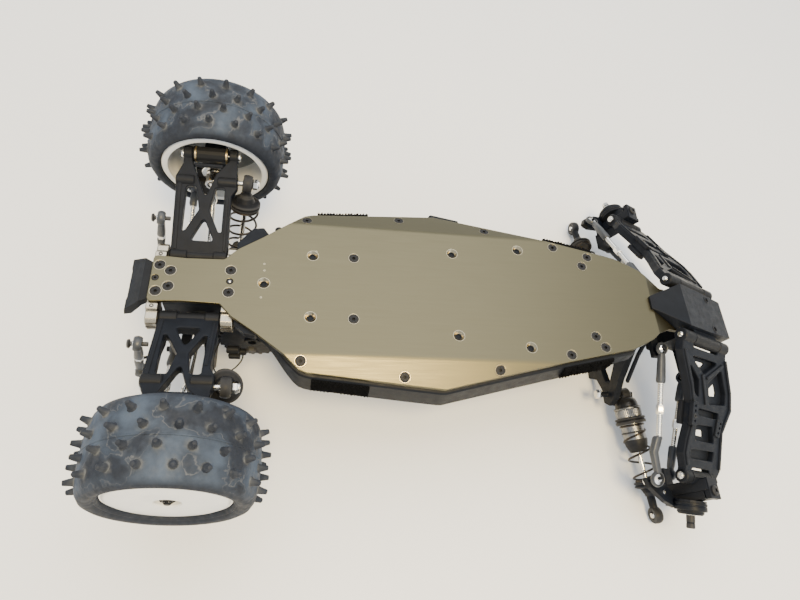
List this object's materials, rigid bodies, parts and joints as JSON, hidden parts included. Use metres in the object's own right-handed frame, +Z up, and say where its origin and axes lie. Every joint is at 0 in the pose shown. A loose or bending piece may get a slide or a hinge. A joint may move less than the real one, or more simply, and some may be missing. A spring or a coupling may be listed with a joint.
{
  "type": "radio-control off-road buggy chassis",
  "caption": "Radio-control off-road buggy lying on its back: flat alloy chassis plate, wishbone suspension, coil-over shocks, linked steering and pin-tread rear wheels on free-turning axles.",
  "frame": {"origin": "on the floor, under the middle of the buggy as it lies on its back on its two shock towers; turn it 180 degrees about X to stand it on its wheels", "axes": "+X from tail to nose, +Y towards the car's right side, +Z up, out of the underside of the chassis plate"},
  "size_m": [0.3725, 0.2441, 0.1239],
  "materials": {
    "plate_anodised": "tan anodised, brushed along the car",
    "champagne_anodised": "satin champagne anodised",
    "black_composite": "moulded black composite, faint grain",
    "grey_composite": "moulded grey composite",
    "bright_steel": "turned steel",
    "dark_metal": "black coated steel and alloy",
    "shock_metal": "grey hard anodised",
    "white_rim": "white moulded nylon",
    "tyre_rubber": "matte rubber with dusty scuffs",
    "battery_case": "dark blue hard case"
  },
  "bodies": {
    "chassis": {"chassis_plate": "plate_anodised", "side_guard_left": "black_composite", "side_guard_right": "black_composite", "nose_bulkhead": "black_composite", "front_block": "black_composite", "front_shock_tower": "black_composite", "rear_shock_tower": "black_composite", "rear_arm_block": "champagne_anodised", "centre_arm_block": "champagne_anodised", "gearbox_case": "black_composite", "rear_bumper": "black_composite", "motor": "dark_metal", "motor_plate": "plate_anodised", "battery": "battery_case", "battery_strap": "black_composite", "servo": "black_composite", "speed_controller": "dark_metal", "anti_roll_bar": "dark_metal"},
    "spur": {"spur_gear": "black_composite"},
    "pinion": {"pinion": "bright_steel"},
    "horn": {"servo_horn": "black_composite"},
    "rack": {"steering_rack": "black_composite"},
    "rear_arm_left": {"rear_arm_left": "black_composite"},
    "rear_hub_left": {"rear_hub_carrier_left": "black_composite"},
    "rear_wheel_left": {"rear_rim_left": "white_rim", "rear_axle_left": "bright_steel", "rear_tyre_left": "tyre_rubber"},
    "rear_camber_left": {"rear_camber_link_left": "bright_steel"},
    "drop_link_left": {"drop_link_left": "grey_composite"},
    "driveshaft_left": {"driveshaft_left": "bright_steel"},
    "rear_shock_left": {"rear_shock_left_body": "shock_metal", "rear_shock_left_spring": "dark_metal"},
    "rear_shaft_left": {"rear_shock_left_shaft": "dark_metal"},
    "rear_arm_right": {"rear_arm_right": "black_composite"},
    "rear_hub_right": {"rear_hub_carrier_right": "black_composite"},
    "rear_wheel_right": {"rear_rim_right": "white_rim", "rear_axle_right": "bright_steel", "rear_tyre_right": "tyre_rubber"},
    "rear_camber_right": {"rear_camber_link_right": "bright_steel"},
    "drop_link_right": {"drop_link_right": "grey_composite"},
    "driveshaft_right": {"driveshaft_right": "bright_steel"},
    "rear_shock_right": {"rear_shock_right_body": "shock_metal", "rear_shock_right_spring": "dark_metal"},
    "rear_shaft_right": {"rear_shock_right_shaft": "dark_metal"},
    "front_arm_left": {"front_arm_left": "black_composite"},
    "caster_left": {"front_caster_block_left": "black_composite"},
    "knuckle_left": {"front_knuckle_left": "black_composite"},
    "front_camber_left": {"front_camber_link_left": "grey_composite"},
    "tie_rod_left": {"tie_rod_left": "grey_composite"},
    "front_shock_left": {"front_shock_left_body": "shock_metal", "front_shock_left_spring": "dark_metal"},
    "front_shaft_left": {"front_shock_left_shaft": "dark_metal"},
    "front_arm_right": {"front_arm_right": "black_composite"},
    "caster_right": {"front_caster_block_right": "black_composite"},
    "knuckle_right": {"front_knuckle_right": "black_composite"},
    "front_camber_right": {"front_camber_link_right": "grey_composite"},
    "tie_rod_right": {"tie_rod_right": "grey_composite"},
    "front_shock_right": {"front_shock_right_body": "shock_metal", "front_shock_right_spring": "dark_metal"},
    "front_shaft_right": {"front_shock_right_shaft": "dark_metal"}
  },
  "joints": [
    {"name": "spur_spin", "type": "hinge", "parent": "chassis", "child": "spur", "pos_m": [-0.11495, -0.01945, 0.0515], "axis": [0, 1, 0], "continuous": true},
    {"name": "pinion_spin", "type": "hinge", "parent": "chassis", "child": "pinion", "pos_m": [-0.08965, -0.02045, 0.057], "axis": [0, 1, 0], "continuous": true},
    {"name": "rear_arm_left_swing", "type": "hinge", "parent": "chassis", "child": "rear_arm_left", "pos_m": [-0.14635, -0.01835, 0.0752], "axis": [1, 0, 0], "range_deg": [0, 28], "stiffness_Nm_per_rad": 0.9, "springref_deg": -20.05},
    {"name": "rear_hub_left_tilt", "type": "hinge", "parent": "rear_arm_left", "child": "rear_hub_left", "pos_m": [-0.14335, -0.07516, 0.09599], "axis": [1, 0, 0], "range_deg": [-21.9, 0]},
    {"name": "rear_wheel_left_spin", "type": "hinge", "parent": "rear_hub_left", "child": "rear_wheel_left", "pos_m": [-0.14335, -0.09605, 0.0807], "axis": [0, 0.9969, -0.0785], "continuous": true},
    {"name": "rear_camber_left_swing", "type": "hinge", "parent": "chassis", "child": "rear_camber_left", "pos_m": [-0.15715, -0.02585, 0.051], "axis": [1, 0, 0], "range_deg": [0, 33.1]},
    {"name": "drop_link_left_swing", "type": "hinge", "parent": "rear_arm_left", "child": "drop_link_left", "pos_m": [-0.16815, -0.03745, 0.0836], "axis": [1, 0, 0], "range_deg": [-24.9, 0]},
    {"name": "driveshaft_left_swing", "type": "hinge", "parent": "chassis", "child": "driveshaft_left", "pos_m": [-0.14335, -0.01565, 0.062], "axis": [1, 0, 0], "range_deg": [0, 30.1]},
    {"name": "rear_shock_left_swing", "type": "hinge", "parent": "chassis", "child": "rear_shock_left", "pos_m": [-0.13215, -0.03185, 0.016], "axis": [1, 0, 0], "range_deg": [0, 10.1]},
    {"name": "rear_shock_left_stroke", "type": "slide", "parent": "rear_shock_left", "child": "rear_shaft_left", "axis": [0.1202, -0.3693, 0.9215], "range_m": [-0.0192, 0], "deforming": ["rear_shock_left_spring"]},
    {"name": "rear_arm_right_swing", "type": "hinge", "parent": "chassis", "child": "rear_arm_right", "pos_m": [-0.14635, 0.02065, 0.0752], "axis": [-1, 0, 0], "range_deg": [0, 28], "stiffness_Nm_per_rad": 0.9, "springref_deg": -20.05},
    {"name": "rear_hub_right_tilt", "type": "hinge", "parent": "rear_arm_right", "child": "rear_hub_right", "pos_m": [-0.14335, 0.07747, 0.09599], "axis": [-1, 0, 0], "range_deg": [-21.9, 0]},
    {"name": "rear_wheel_right_spin", "type": "hinge", "parent": "rear_hub_right", "child": "rear_wheel_right", "pos_m": [-0.14335, 0.09835, 0.0807], "axis": [0, 0.9969, 0.0785], "continuous": true},
    {"name": "rear_camber_right_swing", "type": "hinge", "parent": "chassis", "child": "rear_camber_right", "pos_m": [-0.15715, 0.02815, 0.051], "axis": [-1, 0, 0], "range_deg": [0, 33.1]},
    {"name": "drop_link_right_swing", "type": "hinge", "parent": "rear_arm_right", "child": "drop_link_right", "pos_m": [-0.16815, 0.03975, 0.0836], "axis": [-1, 0, 0], "range_deg": [-24.9, 0]},
    {"name": "driveshaft_right_swing", "type": "hinge", "parent": "chassis", "child": "driveshaft_right", "pos_m": [-0.14335, 0.01795, 0.062], "axis": [-1, 0, 0], "range_deg": [0, 30.1]},
    {"name": "rear_shock_right_swing", "type": "hinge", "parent": "chassis", "child": "rear_shock_right", "pos_m": [-0.13215, 0.03415, 0.016], "axis": [-1, 0, 0], "range_deg": [0, 10.1]},
    {"name": "rear_shock_right_stroke", "type": "slide", "parent": "rear_shock_right", "child": "rear_shaft_right", "axis": [0.1202, 0.3693, 0.9215], "range_m": [-0.0192, 0], "deforming": ["rear_shock_right_spring"]},
    {"name": "front_arm_left_swing", "type": "hinge", "parent": "chassis", "child": "front_arm_left", "pos_m": [0.14045, -0.01805, 0.0813], "axis": [-0.9026, 0, 0.4305], "range_deg": [0, 24]},
    {"name": "caster_left_tilt", "type": "hinge", "parent": "front_arm_left", "child": "caster_left", "pos_m": [0.15304, -0.09408, 0.04126], "axis": [-0.9026, 0, 0.4305], "range_deg": [-27.7, 0]},
    {"name": "front_camber_left_swing", "type": "hinge", "parent": "chassis", "child": "front_camber_left", "pos_m": [0.16107, -0.02985, 0.04195], "axis": [-0.9026, 0, 0.4305], "range_deg": [0, 32.1]},
    {"name": "knuckle_left_steer", "type": "hinge", "parent": "caster_left", "child": "knuckle_left", "pos_m": [0.15024, -0.10308, 0.0354], "axis": [0.4305, 0, 0.9026], "range_deg": [-11.5, 11.5]},
    {"name": "tie_rod_left_swing", "type": "hinge", "parent": "rack", "child": "tie_rod_left", "pos_m": [0.13185, -0.02225, 0.0697], "axis": [-0.9026, 0, 0.4305], "range_deg": [0, 25.6]},
    {"name": "front_shock_left_swing", "type": "hinge", "parent": "chassis", "child": "front_shock_left", "pos_m": [0.12985, -0.03485, 0.02], "axis": [-1, 0, 0], "range_deg": [0, 2.5]},
    {"name": "front_shock_left_stroke", "type": "slide", "parent": "front_shock_left", "child": "front_shaft_left", "axis": [0.1609, -0.9716, -0.1737], "range_m": [-0.015, 0], "stiffness_N_per_m": 300, "springref_m": 0.02, "deforming": ["front_shock_left_spring"]},
    {"name": "front_arm_right_swing", "type": "hinge", "parent": "chassis", "child": "front_arm_right", "pos_m": [0.14045, 0.02035, 0.0813], "axis": [0.9026, 0, -0.4305], "range_deg": [0, 28]},
    {"name": "caster_right_tilt", "type": "hinge", "parent": "front_arm_right", "child": "caster_right", "pos_m": [0.15079, 0.09405, 0.03654], "axis": [0.9026, 0, -0.4305], "range_deg": [-30.7, 0]},
    {"name": "front_camber_right_swing", "type": "hinge", "parent": "chassis", "child": "front_camber_right", "pos_m": [0.16107, 0.03215, 0.04195], "axis": [0.9026, 0, -0.4305], "range_deg": [0, 37.2]},
    {"name": "knuckle_right_steer", "type": "hinge", "parent": "caster_right", "child": "knuckle_right", "pos_m": [0.14799, 0.10305, 0.03068], "axis": [0.4305, 0, 0.9026], "range_deg": [-11.5, 11.5]},
    {"name": "tie_rod_right_swing", "type": "hinge", "parent": "rack", "child": "tie_rod_right", "pos_m": [0.13185, 0.02455, 0.0697], "axis": [0.9026, 0, -0.4305], "range_deg": [0, 29.8]},
    {"name": "front_shock_right_swing", "type": "hinge", "parent": "chassis", "child": "front_shock_right", "pos_m": [0.12985, 0.03715, 0.02], "axis": [1, 0, 0], "range_deg": [0, 4]},
    {"name": "front_shock_right_stroke", "type": "slide", "parent": "front_shock_right", "child": "front_shaft_right", "axis": [-0.0538, 0.9819, -0.1816], "range_m": [-0.015, 0], "stiffness_N_per_m": 300, "springref_m": 0.02, "deforming": ["front_shock_right_spring"]},
    {"name": "rack_slide", "type": "slide", "parent": "chassis", "child": "rack", "axis": [0, 1, 0], "range_m": [-0.005, 0.005]},
    {"name": "horn_turn", "type": "hinge", "parent": "chassis", "child": "horn", "pos_m": [0.12135, 0.00115, 0.032], "axis": [1, 0, 0], "range_deg": [-17, 17]}
  ],
  "couplings": [
    {"joint": "pinion_spin", "follows": "spur_spin", "ratio": -2.6},
    {"joint": "rear_hub_left_tilt", "follows": "rear_arm_left_swing", "ratio": -0.7647},
    {"joint": "rear_camber_left_swing", "follows": "rear_arm_left_swing", "ratio": 1.1647},
    {"joint": "drop_link_left_swing", "follows": "rear_arm_left_swing", "ratio": -0.8703},
    {"joint": "driveshaft_left_swing", "follows": "rear_arm_left_swing", "ratio": 1.0563},
    {"joint": "rear_shock_left_swing", "follows": "rear_arm_left_swing", "ratio": 0.3419},
    {"joint": "rear_shock_left_stroke", "follows": "rear_arm_left_swing", "m_per_rad": -0.03805},
    {"joint": "rear_hub_right_tilt", "follows": "rear_arm_right_swing", "ratio": -0.7647},
    {"joint": "rear_camber_right_swing", "follows": "rear_arm_right_swing", "ratio": 1.1647},
    {"joint": "drop_link_right_swing", "follows": "rear_arm_right_swing", "ratio": -0.8703},
    {"joint": "driveshaft_right_swing", "follows": "rear_arm_right_swing", "ratio": 1.0563},
    {"joint": "rear_shock_right_swing", "follows": "rear_arm_right_swing", "ratio": 0.3419},
    {"joint": "rear_shock_right_stroke", "follows": "rear_arm_right_swing", "m_per_rad": -0.03805},
    {"joint": "caster_left_tilt", "follows": "front_arm_left_swing", "ratio": -1.1336},
    {"joint": "front_camber_left_swing", "follows": "front_arm_left_swing", "ratio": 1.3164},
    {"joint": "tie_rod_left_swing", "follows": "front_arm_left_swing", "ratio": 1.0456},
    {"joint": "caster_right_tilt", "follows": "front_arm_right_swing", "ratio": -1.08},
    {"joint": "front_camber_right_swing", "follows": "front_arm_right_swing", "ratio": 1.3108},
    {"joint": "tie_rod_right_swing", "follows": "front_arm_right_swing", "ratio": 1.0481},
    {"joint": "knuckle_left_steer", "follows": "rack_slide", "rad_per_m": -38.5},
    {"joint": "knuckle_right_steer", "follows": "rack_slide", "rad_per_m": -38.5},
    {"joint": "horn_turn", "follows": "rack_slide", "rad_per_m": -56.8}
  ]
}
